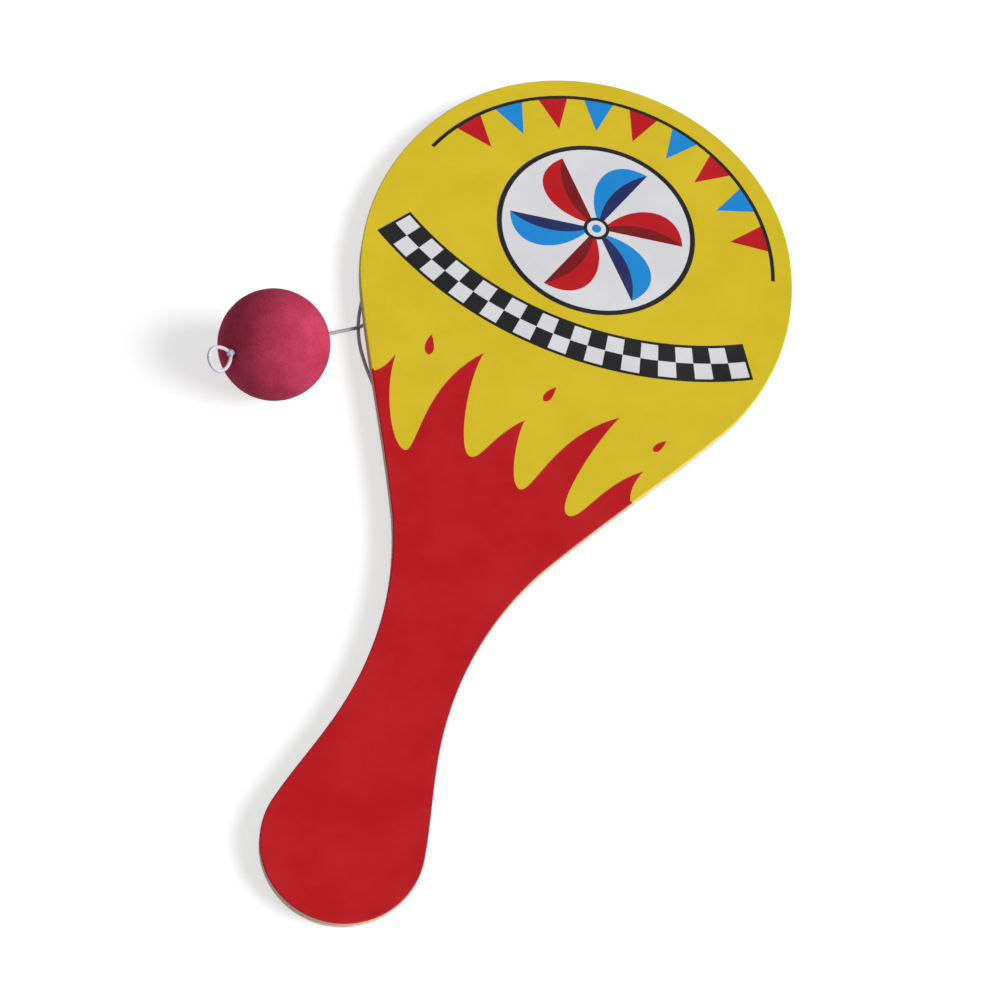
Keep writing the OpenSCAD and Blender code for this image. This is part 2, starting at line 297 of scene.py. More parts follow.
# Thread: the same route as in the solids, in millimetres
threadLook = {
    "thick": 0.8, "sides": 12, "ringStep": 0.07, "groove": 0.06, "smooth": 70, "cordStep": 0.5,
    "coilRadius": 4.7, "turnGap": 0.45, "layerTurns": 2, "turnSteps": 48, "coilDrop": 18,
    "crossAir": 0.1, "knotEnd": 2.1, "coreLap": 0.3,
}
slackRoute = [
    (-12.6, -15), (-13.6, -11), (-16, -6.5), (-20, -3), (-25, -1), (-30.5, -1), (-35.5, -3.5), (-39.5, -8),
    (-42.2, -13.5), (-43.2, -19.5), (-42.6, -25), (-41.2, -31.5), (-39, -36.7), (-36.2, -40.9),
    (-33, -44.7), (-29.5, -48.4), (-26.6, -52), (-23.4, -55.2), (-19.4, -56), (-16, -53.8),
    (-14.6, -49.8), (-15, -45), (-17, -40), (-20.4, -35.2), (-24.4, -31.2), (-29, -28.3), (-33.4, -27.4),
]
riseRoute = [(-36.4, -29, 0.5), (-38.7, -31.7, 0.9)]
exitPlace = (-40.4, -34)

floorZ = cadBox[0].z / mm
lowZ = floorZ + threadLook["thick"] / 2
threadPitch = threadLook["thick"] + threadLook["turnGap"]
topZ = lowZ + threadPitch
crossRise = threadLook["thick"] + threadLook["crossAir"]
exitPoint = Vector((*exitPlace, lowZ + crossRise))


def coilPoint(turn):
    # The coil winds in on the top layer, drops in a half turn, and winds out again below
    turns, pitch = threadLook["layerTurns"], threadPitch
    outer = threadLook["coilRadius"] + turns * pitch / 2
    inner = threadLook["coilRadius"] - turns * pitch / 2
    if turn < turns:
        radius = outer - turn * pitch
    elif turn < turns + 0.5:
        radius = inner - threadLook["turnGap"] / 2 * math.sin(2 * math.pi * (turn - turns))
    else:
        radius = inner + (turn - turns - 0.5) * pitch
    share = max(0, min(1, (turn - turns) * 2))
    angle = 2 * math.pi * turn
    across, along = radius * math.cos(angle) - outer, -radius * math.sin(angle) - threadLook["coilDrop"]
    return Vector((across, along, topZ - pitch * share * share * (3 - 2 * share)))


def smoothLine(points, steps=10):
    made = []
    last = len(points) - 1
    for k in range(last):
        a, b, c, d = points[max(k - 1, 0)], points[k], points[k + 1], points[min(k + 2, last)]
        for s in range(steps):
            t = s / steps
            made.append((2 * b + (c - a) * t + (2 * a - 5 * b + 4 * c - d) * t * t
                         + (3 * b - a - 3 * c + d) * t * t * t) / 2)
    return made + [points[last]]


def evenly(points, step):
    lengths = [0.0]
    for a, b in zip(points, points[1:]):
        lengths.append(lengths[-1] + (b - a).length)
    count = max(2, round(lengths[-1] / step))
    made, k = [], 0
    for n in range(count + 1):
        want = lengths[-1] * n / count
        while k < len(points) - 2 and lengths[k + 1] < want:
            k += 1
        span = lengths[k + 1] - lengths[k]
        made.append(points[k].lerp(points[k + 1], (want - lengths[k]) / span if span else 0))
    return made


def lineLength(points):
    return sum((b - a).length for a, b in zip(points, points[1:]))


def sweepThread(name, line, swell=lambda share: 1.0):
    # A tube with the ridges of the wraps. Each ring is carried on from the last, so the tube doesn't twist.
    points = evenly(line, threadLook["ringStep"])
    sides, last = threadLook["sides"], len(points) - 1
    verts, along, run = [], [], 0.0
    heading = (points[1] - points[0]).normalized()
    side = heading.orthogonal().normalized()
    for k, point in enumerate(points):
        now = (points[min(k + 1, last)] - points[max(k - 1, 0)]).normalized()
        side = (heading.rotation_difference(now) @ side).normalized()
        side = (side - now * side.dot(now)).normalized()
        heading = now
        other = now.cross(side)
        run += (point - points[k - 1]).length if k else 0
        along.append(run)
        for j in range(sides):
            turn = 2 * math.pi * j / sides
            lift = math.cos(turn - 2 * math.pi * run / yarnWrap)
            ridge = 1 - threadLook["groove"] * (0.5 - 0.5 * lift)
            radius = threadLook["thick"] / 2 * ridge * swell(k / last)
            verts.append(point + radius * (math.cos(turn) * side + math.sin(turn) * other))
    faces = []
    for k in range(last):
        for j in range(sides):
            here, after = k * sides, (k + 1) * sides
            beside = (j + 1) % sides
            faces.append((here + j, here + beside, after + beside, after + j))
    faces += [tuple(range(sides - 1, -1, -1)), tuple(last * sides + j for j in range(sides))]
    mesh = bpy.data.meshes.new(name)
    mesh.from_pydata(verts, [], faces)
    layer = mesh.uv_layers.new(name="along")
    for face in mesh.polygons:
        for corner, loop in enumerate(face.loop_indices):
            ring, spoke = divmod(mesh.loops[loop].vertex_index, sides)
            wraps = len(face.vertices) == 4 and spoke == 0 and corner in (1, 2)
            layer.data[loop].uv = (1.0 if wraps else spoke / sides, along[ring])
    piece = bpy.data.objects.new(name, mesh)
    bpy.context.scene.collection.objects.link(piece)
    return piece


def choose(piece):
    bpy.ops.object.select_all(action="DESELECT")
    piece.select_set(True)
    bpy.context.view_layer.objects.active = piece


def settle(piece, body, material, replaced=(), angle=40):
    # Finishes a piece drawn in millimetres: size in metres, outward faces, smooth shading, what it rides on
    choose(piece)
    piece.scale = (mm, mm, mm)
    bpy.ops.object.transform_apply(location=True, rotation=True, scale=True)
    bpy.ops.object.mode_set(mode="EDIT")
    bpy.ops.mesh.select_all(action="SELECT")
    bpy.ops.mesh.normals_make_consistent(inside=False)
    bpy.ops.object.mode_set(mode="OBJECT")
    bpy.ops.object.shade_smooth_by_angle(angle=math.radians(angle))
    piece.data.materials.clear()
    piece.data.materials.append(material)
    if body is not None:
        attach(piece, body)
    if replaced:
        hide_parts(*replaced)
    return piece


def settleThread(piece, body, replaced, kind="slack"):
    return settle(piece, body, yarn[kind], replaced, threadLook["smooth"])


knotLook = {"turns": 2.5, "turnSteps": 20, "radius": 0.45, "rise": 2.2, "length": 1.9, "lead": 0.5}


def knotLine(centre, forward, across, look):
    # The thread leaves its line, winds round it, and comes back to it
    up = forward.cross(across)
    points = []
    steps = int(look["turns"] * look["turnSteps"])
    for k in range(steps + 1):
        share = k / steps
        reach = look["radius"] * min(1, math.sin(math.pi * share) * look["rise"])
        angle = 2 * math.pi * look["turns"] * share
        place = centre + forward * look["length"] * (share - 0.5)
        points.append(place + reach * (math.cos(angle) * across + math.sin(angle) * up))
    return [points[0] - forward * look["lead"], *points, points[-1] + forward * look["lead"]]


coilTurns = 2 * threadLook["layerTurns"] + 0.5
coilSteps = int(coilTurns * threadLook["turnSteps"])
coilLine = [coilPoint(k / threadLook["turnSteps"]) for k in range(coilSteps + 1)]
square = Vector((0, threadLook["thick"], 0))
flatPart = [Vector((x, y, lowZ)) for x, y in slackRoute]
risePart = [Vector((x, y, lowZ + crossRise * share)) for x, y, share in riseRoute]
sideLine = smoothLine([coilLine[-1], coilLine[-1] + square, *flatPart, *risePart, exitPoint])
slackLine = [Vector((0, threadLook["knotEnd"], topZ)), coilLine[0] + square, *coilLine[:-1], *sideLine]
slackThread = settleThread(sweepThread("slack_thread", slackLine), "paddle",
                           ["elastic_anchor_run", "elastic_coil", "elastic_side_run"])

# The ball's end of the thread, along the line from the board's edge through the ball
ballLow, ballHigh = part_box("ball")
ballCentre = (ballLow + ballHigh) / 2 / mm
ballRadius = (ballHigh.x - ballLow.x) / 2 / mm
leadLine = ballCentre - exitPoint
leadWay = leadLine.normalized()
nearHole = exitPoint + leadWay * (leadLine.length - ballRadius)
farHole = exitPoint + leadWay * (leadLine.length + ballRadius)
dimple = {"depth": 0.9, "knotAir": 0.15, "knotWide": 1.9}
coreEnd = farHole - leadWay * (dimple["depth"] - dimple["knotAir"])
knotSeat = coreEnd + leadWay * dimple["knotWide"] / 2
leadSide = Vector((0, 0, 1)).cross(leadWay).normalized()
leadUp = leadWay.cross(leadSide)

coreLine = [exitPoint, nearHole, coreEnd + leadWay * threadLook["coreLap"]]
# The lead takes the darker copy of the yarn: painted shade
leadThread = settleThread(sweepThread("lead_thread", coreLine), None,
                          ["elastic_lead", "elastic_core"], "shadedLead")
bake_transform(leadThread)

bendLook = {"reach": 0.55, "thick": 0.98, "taper": 0.75}


def bendSwell(share):
    # Full in the middle and drawn in at both ends, so that the bend stays inside the thread on each side
    return bendLook["thick"] * math.sqrt(1 - bendLook["taper"] * (2 * share - 1) ** 4)


bendLine = [exitPoint - leadWay * bendLook["reach"], exitPoint, exitPoint + leadWay * bendLook["reach"]]
# The bend takes the lead's darker yarn too: painted shade
threadBend = settleThread(sweepThread("thread_bend", bendLine, bendSwell), "thread_bend",
                          ["elastic_bend"], "shadedLead")

stopLook = dict(knotLook, turns=1.5, length=1.0, radius=0.5, lead=0.3)
stopLine = smoothLine(knotLine(knotSeat, leadWay, leadSide, stopLook), 3)
stopKnot = settleThread(sweepThread("stop_knot_tied", stopLine), "thread_end", ["stop_knot"])

loopLook = {"length": 6, "width": 5, "from": 24, "roll": -28, "lean": 10, "peakShare": 0.863, "steps": 48}


def loopLine(look):
    roll = Quaternion(leadWay, math.radians(look["roll"]))
    across, normal = roll @ leadSide, roll @ leadUp
    lean = Quaternion(normal, math.radians(look["lean"]))
    forward, across = lean @ leadWay, lean @ across
    points = []
    for k in range(look["steps"] + 1):
        t = math.radians(look["from"] + (360 - 2 * look["from"]) * k / look["steps"])
        out = look["length"] * (1 - math.cos(t)) / 2
        wide = look["width"] / 2 / look["peakShare"] * math.sin(t) * math.sqrt(abs(math.sin(t / 2)))
        points.append(knotSeat + forward * out + across * wide)
    return points


endLoop = settleThread(sweepThread("end_loop_thread", loopLine(loopLook)), "thread_end", ["end_loop"])

# The anchor knot behind the staple, and the short end left over
anchorLook = dict(knotLook, length=1.7, reach=0.4)
knotLow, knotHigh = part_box("anchor_knot")
anchorPlace = (knotLow + knotHigh) / 2 / mm
anchorLine = knotLine(anchorPlace, Vector((0, 1, 0)), Vector((1, 0, 0)), anchorLook)
anchorFrom = Vector((0, anchorLine[0].y - anchorLook["reach"], topZ))
anchorTo = Vector((0, anchorLine[-1].y + anchorLook["reach"], topZ))
anchorLine = smoothLine([anchorFrom, *anchorLine, anchorTo], 3)
anchorKnot = settleThread(sweepThread("anchor_knot_tied", anchorLine), "paddle", ["anchor_knot"])
tailLook = {"lap": 0.2, "route": [(0.06, -2.4, -0.05), (0.02, -1.1, -0.12), (-0.15, 0, -0.22)]}
tailLow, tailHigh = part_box("elastic_tail")
tailStart = Vector((0, tailLow.y / mm - tailLook["lap"], topZ))
tailRoute = [Vector((x, tailHigh.y / mm + y, topZ + z)) for x, y, z in tailLook["route"]]
tailLine = smoothLine([tailStart, *tailRoute])
frayLook = {"wider": 0.3, "from": 0.8}


def fraySwell(share):
    # The cut end opens out a little
    return 1 + frayLook["wider"] * max(0, share - frayLook["from"]) / (1 - frayLook["from"])


threadTail = settleThread(sweepThread("thread_tail", tailLine, fraySwell), "paddle", ["elastic_tail"])

slackMetres = [p * mm for p in evenly(slackLine, threadLook["cordStep"])]
leadMetres = [p * mm for p in evenly([coreLine[0], coreLine[-1]], threadLook["cordStep"])]
print("thread is laid,", round(lineLength(slackLine) + lineLength(leadMetres) / mm), "mm of it")


# Board: the outline comes from the printed film's solid, as a finer smooth line
outlineLook = {"step": 0.9, "least": 0.4}


def boardOutline(look):
    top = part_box("printed_film")[1].z
    rim = {(round(v.co.x / mm, 3), round(v.co.y / mm, 3))
           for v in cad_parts["printed_film"].data.vertices if v.co.z > top - 0.01 * mm}
    right = sorted((p for p in rim if p[0] >= 0), key=lambda p: -p[1])
    left = sorted((p for p in rim if p[0] < 0), key=lambda p: p[1])
    ring = []
    for place in right + left:
        if not ring or (Vector(place) - ring[-1]).length > look["least"]:
            ring.append(Vector(place))
    made = []
    for k in range(len(ring)):
        a, b, c, d = (ring[(k + n) % len(ring)] for n in (-1, 0, 1, 2))
        before, span, after = (b - a).length, (c - b).length, (d - c).length
        leave = ((b - a) / before * span + (c - b) / span * before) / (before + span) * span
        reach = ((c - b) / span * after + (d - c) / after * span) / (span + after) * span
        steps = max(1, round(span / look["step"]))
        for s in range(steps):
            t = s / steps
            made.append(b + leave * t + (3 * (c - b) - 2 * leave - reach) * t * t
                        + (2 * (b - c) + leave + reach) * t * t * t)
    return made


outline = boardOutline(outlineLook)


def insetOutline(inset):
    made = []
    for k, point in enumerate(outline):
        along = (outline[(k + 1) % len(outline)] - outline[k - 1]).normalized()
        made.append(point + inset * Vector((along.y, -along.x)))
    return made


def blank(name, low, high, rows=1, inset=0.0):
    # A sheet of the board's outline: a filled circle drawn out to the outline, and pulled up row by row
    points = insetOutline(inset)
    bpy.ops.object.select_all(action="DESELECT")
    bpy.ops.mesh.primitive_circle_add(vertices=len(points), radius=1, fill_type="NGON")
    piece = bpy.context.object
    piece.name = piece.data.name = name
    for vert, point in zip(piece.data.vertices, points):
        vert.co = (point.x, point.y, low)
    bpy.ops.object.mode_set(mode="EDIT")
    bpy.ops.mesh.select_all(action="SELECT")
    for row in range(rows):
        move = {"value": (0, 0, (high - low) / rows)}
        bpy.ops.mesh.extrude_region_move(TRANSFORM_OT_translate=move)
    bpy.ops.mesh.select_all(action="SELECT")
    bpy.ops.mesh.normals_make_consistent(inside=False)
    bpy.ops.object.mode_set(mode="OBJECT")
    return piece


def roundRim(piece, height, width, segments):
    # Rounds the rim edges at one height. Those are all shorter than 3 mm.
    level, longest = 1e-4, 3
    choose(piece)
    bpy.ops.object.mode_set(mode="EDIT")
    bpy.ops.mesh.select_all(action="DESELECT")
    bpy.ops.object.mode_set(mode="OBJECT")
    verts = piece.data.vertices
    for edge in piece.data.edges:
        a, b = (verts[v].co for v in edge.vertices)
        edge.select = max(abs(a.z - height), abs(b.z - height)) < level and (a - b).length < longest
    for face in piece.data.polygons:
        face.select = False
    bpy.ops.object.mode_set(mode="EDIT")
    bpy.ops.mesh.select_mode(type="EDGE")
    bpy.ops.mesh.bevel(offset=width, segments=segments, affect="EDGES")
    bpy.ops.mesh.select_all(action="DESELECT")
    bpy.ops.object.mode_set(mode="OBJECT")
    for face in piece.data.polygons:
        face.select = abs(face.center.z - height) < level and abs(face.normal.z) > 0.99
    bpy.ops.object.mode_set(mode="EDIT")
    bpy.ops.mesh.select_mode(type="FACE")
    bpy.ops.mesh.inset(thickness=width, depth=0)
    bpy.ops.object.mode_set(mode="OBJECT")


# Each veneer: its rim, the roughness of its cut edge, and the grain that the cut follows
veneers = {
    "back_ply": {
        "wood": "faceVeneer", "slot": "face_veneer", "grain": (0.8, 0.08),
        "rows": 3, "inset": 0.03, "rough": 0.035, "arris": 0.22,
    },
    "core_ply": {
        "wood": "coreVeneer", "slot": "core_veneer", "grain": (0.08, 0.8),
        "rows": 4, "inset": 0.10, "rough": 0.055, "arris": 0.0,
    },
    "front_ply": {
        "wood": "faceVeneer", "slot": "face_veneer", "grain": (0.8, 0.08),
        "rows": 3, "inset": 0.05, "rough": 0.035, "arris": 0.0,
    },
}
cutLook = {"fibre": (3, 2.2), "mark": (0.9, 0.3), "torn": 0.7, "marks": 0.5, "sink": 0.4}


def roughenEdge(piece, look):
    # The cut edge: torn fibres, and the fine upright marks of the cutter
    wide, tall = cutLook["fibre"]
    normals = [(a - b) for a, b in zip(insetOutline(0.0), insetOutline(1.0))]
    rim = kdtree.KDTree(len(outline))
    for k, point in enumerate(insetOutline(look["inset"])):
        rim.insert((point.x, point.y, 0), k)
    rim.balance()
    for vert in piece.data.vertices:
        x, y, z = vert.co
        k = rim.find((x, y, 0))[1]
        torn = noise.noise(Vector((x * look["grain"][0] * wide, y * look["grain"][1] * wide, z * tall)))
        marks = noise.noise(Vector((k * cutLook["mark"][0], 0.5, z * cutLook["mark"][1])))
        push = look["rough"] * (cutLook["torn"] * torn + cutLook["marks"] * marks - cutLook["sink"])
        vert.co.x += normals[k].x * push
        vert.co.y += normals[k].y * push


def makeVeneer(node):
    look = veneers[node]
    low, high = (corner.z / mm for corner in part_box(node))
    piece = blank(node + "_sheet", low, high, look["rows"], look["inset"])
    roughenEdge(piece, look)
    if look["arris"]:
        roundRim(piece, low, look["arris"], 3)
    settle(piece, "paddle", wood[look["wood"]], [node])


for veneer in veneers:
    makeVeneer(veneer)
print("veneers are cut")


# Printed sheet, rolled a little over the board's edge
filmLook = {"skirt": 0.26, "roll": 0.24, "inkReach": 0.58}


def makeFilm(look):
    low, high = (corner.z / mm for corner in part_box("printed_film"))
    piece = blank("printed_sheet", low - look["skirt"], high)
    roundRim(piece, high, look["roll"], 4)
    return settle(piece, "paddle", ink["yellow"], ["printed_film"])


def paintRim(sheet, colour, layer, reach):
    # The sheet's rim takes the colour of the ink that runs out to it. The two broad faces are left out.
    sheet.data.materials.append(colour)
    near = kdtree.KDTree(len(layer.data.vertices))
    for k, vert in enumerate(layer.data.vertices):
        near.insert((vert.co.x, vert.co.y, 0), k)
    near.balance()
    largest = max(face.area for face in sheet.data.polygons)
    for face in sheet.data.polygons:
        if face.area < largest / 2 and near.find((face.center.x, face.center.y, 0))[2] < reach * mm:
            face.material_index = 1


printedSheet = makeFilm(filmLook)
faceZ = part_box("printed_film")[1].z / mm


# Inks are drawn as flat curves in millimetres, and stand a hair over the sheet in the order of printing
inkLook = {"step": 0.012, "clipGap": 0.03, "smooth": 20, "weld": 0.002}


def inkLayer(name, colour, level, shapes, clip=False):
    bpy.ops.object.select_all(action="DESELECT")
    bpy.ops.curve.primitive_bezier_circle_add(radius=1)
    piece = bpy.context.object
    piece.name = piece.data.name = name
    drawing = piece.data
    drawing.splines.clear()
    for shape in shapes:
        if "corners" in shape:
            spline = drawing.splines.new("POLY")
            spline.points.add(len(shape["corners"]) - 1)
            for point, place in zip(spline.points, shape["corners"]):
                point.co = (place[0], place[1], 0, 1)
        else:
            spline = drawing.splines.new("BEZIER")
            spline.bezier_points.add(len(shape["knots"]) - 1)
            for point, (place, before, after) in zip(spline.bezier_points, shape["knots"]):
                point.handle_left_type = point.handle_right_type = "FREE"
                point.co, point.handle_left, point.handle_right = ((*p, 0) for p in (place, before, after))
        spline.use_cyclic_u = True
    drawing.dimensions = "2D"
    drawing.resolution_u = inkLook["smooth"]
    drawing.fill_mode = "BOTH"
    thick = (level + 2) * inkLook["step"]
    drawing.extrude = thick / 2
    piece.location.z = faceZ - inkLook["step"] + thick / 2
    bpy.ops.object.convert(target="MESH")
    piece = bpy.context.object
    bpy.ops.object.transform_apply(location=True, rotation=True, scale=True)
    bpy.ops.object.mode_set(mode="EDIT")
    bpy.ops.mesh.select_all(action="SELECT")
    bpy.ops.mesh.remove_doubles(threshold=inkLook["weld"])
    bpy.ops.object.mode_set(mode="OBJECT")
    if clip:
        cutter = blank("cutter", faceZ - 1, faceZ + 1, 1, filmLook["roll"] + inkLook["clipGap"])
        choose(piece)
        trim = piece.modifiers.new("trim", "BOOLEAN")
        trim.operation, trim.solver, trim.object = "INTERSECT", "EXACT", cutter
        bpy.ops.object.modifier_apply(modifier="trim")
        bpy.data.objects.remove(cutter)
    return settle(piece, "paddle", ink[colour])


def onCircle(centre, radius, angle):
    a = math.radians(angle)
    return (centre[0] + radius * math.cos(a), centre[1] + radius * math.sin(a))


def disc(centre, radius, count=96):
    return {"corners": [onCircle(centre, radius, 360 * k / count) for k in range(count)]}


def arcBand(centre, inner, outer, start, end, count=40):
    sweep = [start + (end - start) * k / count for k in range(count + 1)]
    far = [onCircle(centre, outer, a) for a in sweep]
    near = [onCircle(centre, inner, a) for a in reversed(sweep)]
    return {"corners": far + near}


# Flames rise from the handle: each knot is a place with the handles before and after it
flameLook = [
    ((-60, -170), (-60, -170), (-60, -170)),
    ((-60, -46.9), (-60, -46.9), (-60, -46.9)),
    ((-36, -46.9), (-36, -46.9), (-31.5, -44.9)),
    ((-30, -39), (-31, -43), (-29.5, -48)),
    ((-20, -60.5), (-23.2, -60.3), (-16.8, -60.7)),
    ((-12.5, -30.5), (-22.5, -44), (-13.5, -39.5)),
    ((-6.5, -56), (-9.5, -55.7), (-4, -56.2)),
    ((1.5, -42.5), (-4, -49.5), (1, -47.5)),
    ((6, -59), (3.4, -58.8), (9, -59.2)),
    ((20.5, -33), (8.5, -43), (17.5, -41)),
    ((17.5, -60.5), (14.1, -59.5), (20.5, -61.5)),
    ((29.5, -43.5), (22, -50), (27.5, -49)),
    ((33, -54.5), (28.5, -54), (33, -54.5)),
    ((60, -54.5), (60, -54.5), (60, -54.5)),
    ((60, -170), (60, -170), (60, -170)),
]
sparkLook = {"places": [(-24, -33.5, 2.7, 12), (4.5, -34, 2.4, -18), (31, -36, 2.1, -28)], "thin": 0.34}


def spark(x, y, size, turn, thin):
    # A small drop of flame beside the tongues
    def at(along, across):
        a = math.radians(turn + 90)
        return (x + along * math.cos(a) - across * math.sin(a),
                y + along * math.sin(a) + across * math.cos(a))

    wide = size * thin
    return {"knots": [
        (at(size, 0), at(size * 0.5, wide * 1.2), at(size * 0.6, -wide * 0.1)),
        (at(-size, 0), at(-size * 0.6, -wide * 2.2), at(-size * 0.8, wide * 2.0)),
    ]}


# Pinwheel: a sail and its fold are drawn 20 mm long, and scaled to the reach
pinwheelLook = {
    "centre": (0, 12), "ring": 23.2, "disc": 22.0, "blades": 6, "reach": 20.3, "turn": 12,
    "hubRim": 3.0, "hub": 2.2, "pin": 1.1,
}
drawnReach = 20
sail = [((1.2, 0), (7, 9.5), (1.2, 0)), ((20, 0), (20, 0), (18.5, 10.5))]
fold = [((1.2, 0), (5.5, 3.4), (1.2, 0)), ((20, 0), (20, 0), (14, 4.2))]


def blade(number, shape):
    look = pinwheelLook
    turn = math.radians(look["turn"] + 360 * number / look["blades"])
    scale = look["reach"] / drawnReach

    def at(place):
        x, y = place[0] * scale, place[1] * scale
        return (look["centre"][0] + x * math.cos(turn) - y * math.sin(turn),
                look["centre"][1] + x * math.sin(turn) + y * math.cos(turn))

    return {"knots": [tuple(at(place) for place in knot) for knot in shape]}


# Bunting: widths and spans along the string are in degrees
buntingLook = {
    "centre": (0, 4.5), "string": 43.4, "thick": 0.9, "reach": 74,
    "flags": 9, "tip": 34.8, "width": 9.2, "span": 132, "steps": 6,
}


def pennants(look, wanted):
    made = []
    for k in range(look["flags"]):
        if k % 2 != wanted:
            continue
        middle = 90 + look["span"] / 2 - look["span"] * (k + 0.5) / look["flags"]
        angles = [middle + look["width"] * (0.5 - s / look["steps"]) for s in range(look["steps"] + 1)]
        corners = [onCircle(look["centre"], look["string"], angle) for angle in angles]
        made.append({"corners": corners + [onCircle(look["centre"], look["tip"], middle)]})
    return made


# Chequered band: the checks lap its border, and the two rows stand a hair apart
checkLook = {
    "centre": (0, 62), "inner": 77, "outer": 85, "half": 31.5, "columns": 22,
    "border": 0.7, "lap": 0.1, "apart": 0.02,
}


def checks(look):
    made = []
    middle = (look["inner"] + look["outer"]) / 2
    step = 2 * look["half"] / look["columns"]
    upper = (middle + look["apart"], look["outer"] + look["lap"])
    lower = (look["inner"] - look["lap"], middle - look["apart"])
    rows = [upper, lower]
    for column in range(look["columns"]):
        inner, outer = rows[column % 2]
        start = 270 - look["half"] + step * column
        made.append(arcBand(look["centre"], inner, outer, start, start + step, 4))
    return made


hub = pinwheelLook["centre"]
even, odd = range(0, pinwheelLook["blades"], 2), range(1, pinwheelLook["blades"], 2)
bandStart, bandEnd = 270 - checkLook["half"], 270 + checkLook["half"]
edge = checkLook["border"]
edgeAngle = math.degrees(edge / checkLook["outer"])
string = buntingLook["string"]
flames = inkLayer("ink_flames", "red", 0, [{"knots": flameLook}], clip=True)
paintRim(printedSheet, ink["red"], flames, filmLook["inkReach"])
inkLayer("ink_sparks", "red", 0, [spark(*place, sparkLook["thin"]) for place in sparkLook["places"]])
inkLayer("ink_outlines", "black", 0, [
    disc(hub, pinwheelLook["ring"]),
    arcBand(checkLook["centre"], checkLook["inner"] - edge, checkLook["outer"] + edge,
            bandStart - edgeAngle, bandEnd + edgeAngle),
    arcBand(buntingLook["centre"], string, string + buntingLook["thick"],
            90 - buntingLook["reach"], 90 + buntingLook["reach"]),
])
inkLayer("ink_whites", "white", 1, [
    disc(hub, pinwheelLook["disc"]),
    arcBand(checkLook["centre"], checkLook["inner"], checkLook["outer"], bandStart, bandEnd),
])
inkLayer("ink_checks", "black", 2, checks(checkLook))
inkLayer("ink_red_flags", "red", 0, pennants(buntingLook, 0))
inkLayer("ink_blue_flags", "blue", 0, pennants(buntingLook, 1))
inkLayer("ink_red_sails", "red", 2, [blade(k, sail) for k in even])
inkLayer("ink_blue_sails", "blue", 2, [blade(k, sail) for k in odd])
inkLayer("ink_red_folds", "deepRed", 3, [blade(k, fold) for k in even])
inkLayer("ink_blue_folds", "navy", 3, [blade(k, fold) for k in odd])
inkLayer("ink_hub_rim", "black", 4, [disc(hub, pinwheelLook["hubRim"], 48)])
inkLayer("ink_hub", "white", 5, [disc(hub, pinwheelLook["hub"], 48)])
inkLayer("ink_pin", "blue", 6, [disc(hub, pinwheelLook["pin"], 32)])
print("face is printed")


# Ball: a sphere drawn in round the thread at both holes, bored through, with its open cells in the mesh
# The cells stay clear of the bore and its lips.
ballLook = {
    "segments": 88, "rings": 60, "bore": 0.45, "reach": 2.6, "boreRows": 6, "boreClear": (0.7, 1.3),
    "cell": 0.55, "pit": 0.42, "cellDepth": 0.045, "pitDepth": 1.6, "uneven": 1.7,
}


def makeBall(look):
    bpy.ops.object.select_all(action="DESELECT")
    bpy.ops.mesh.primitive_uv_sphere_add(
        segments=look["segments"], ring_count=look["rings"], radius=ballRadius)
    piece = bpy.context.object
    piece.name = piece.data.name = "sponge_ball"
    for vert in piece.data.vertices:
        wide = math.hypot(vert.co.x, vert.co.y)
        if wide < look["reach"]:
            share = 1 - wide / look["reach"]
            vert.co.z -= math.copysign(dimple["depth"] * share * share * (3 - 2 * share), vert.co.z)
    bpy.ops.object.mode_set(mode="EDIT")
    bpy.ops.mesh.select_mode(type="VERT")
    bpy.ops.mesh.select_all(action="DESELECT")
    bpy.ops.object.mode_set(mode="OBJECT")
    for vert in piece.data.vertices:
        vert.select = math.hypot(vert.co.x, vert.co.y) < 1e-4
    bpy.ops.object.mode_set(mode="EDIT")
    bpy.ops.mesh.delete(type="VERT")
    bpy.ops.mesh.select_all(action="DESELECT")
    bpy.ops.object.mode_set(mode="OBJECT")
    ringWide = min(math.hypot(v.co.x, v.co.y) for v in piece.data.vertices)
    for vert in piece.data.vertices:
        vert.select = math.hypot(vert.co.x, vert.co.y) < ringWide * 1.05
        if vert.select:
            vert.co.x *= look["bore"] / ringWide
            vert.co.y *= look["bore"] / ringWide
    bpy.ops.object.mode_set(mode="EDIT")
    bpy.ops.mesh.select_mode(type="VERT")
    bpy.ops.mesh.bridge_edge_loops(number_cuts=look["boreRows"], smoothness=0)
    bpy.ops.mesh.select_all(action="SELECT")
    bpy.ops.mesh.normals_make_consistent(inside=False)
    bpy.ops.object.mode_set(mode="OBJECT")
    finer = piece.modifiers.new("finer", "SUBSURF")
    finer.levels = finer.render_levels = 2
    bpy.ops.object.modifier_apply(modifier="finer")
    deepest, widest = look["boreClear"]
    for vert in piece.data.vertices:
        inside = vert.co.length < ballRadius * deepest
        atBore = math.hypot(vert.co.x, vert.co.y) < look["bore"] * widest
        if inside or atBore:
            continue
        out = vert.co.normalized()
        near = noise.voronoi(vert.co / look["cell"] / 2)[0][0]
        pit = max(0, 1 - near / look["pit"])
        swell = noise.noise(vert.co / look["uneven"])
        vert.co -= out * look["cellDepth"] * (pit * pit * look["pitDepth"] + 0.5 + 0.5 * swell)
    turn = Vector((0, 0, 1)).rotation_difference(leadWay).to_matrix().to_4x4()
    piece.data.transform(Matrix.Translation(ballCentre) @ turn)
    settle(piece, "ball", sponge, ["ball"], 80)


makeBall(ballLook)
print("ball is bored")

# The staple is the solid itself, in bare steel
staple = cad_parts["staple"]
staple.data.materials.clear()
staple.data.materials.append(steel)


# Table and backdrop: white to the camera, with the shadow kept
floorLook = {"size": 20, "gap": 0.02, "colour": (196, 196, 197), "lift": 0.62}


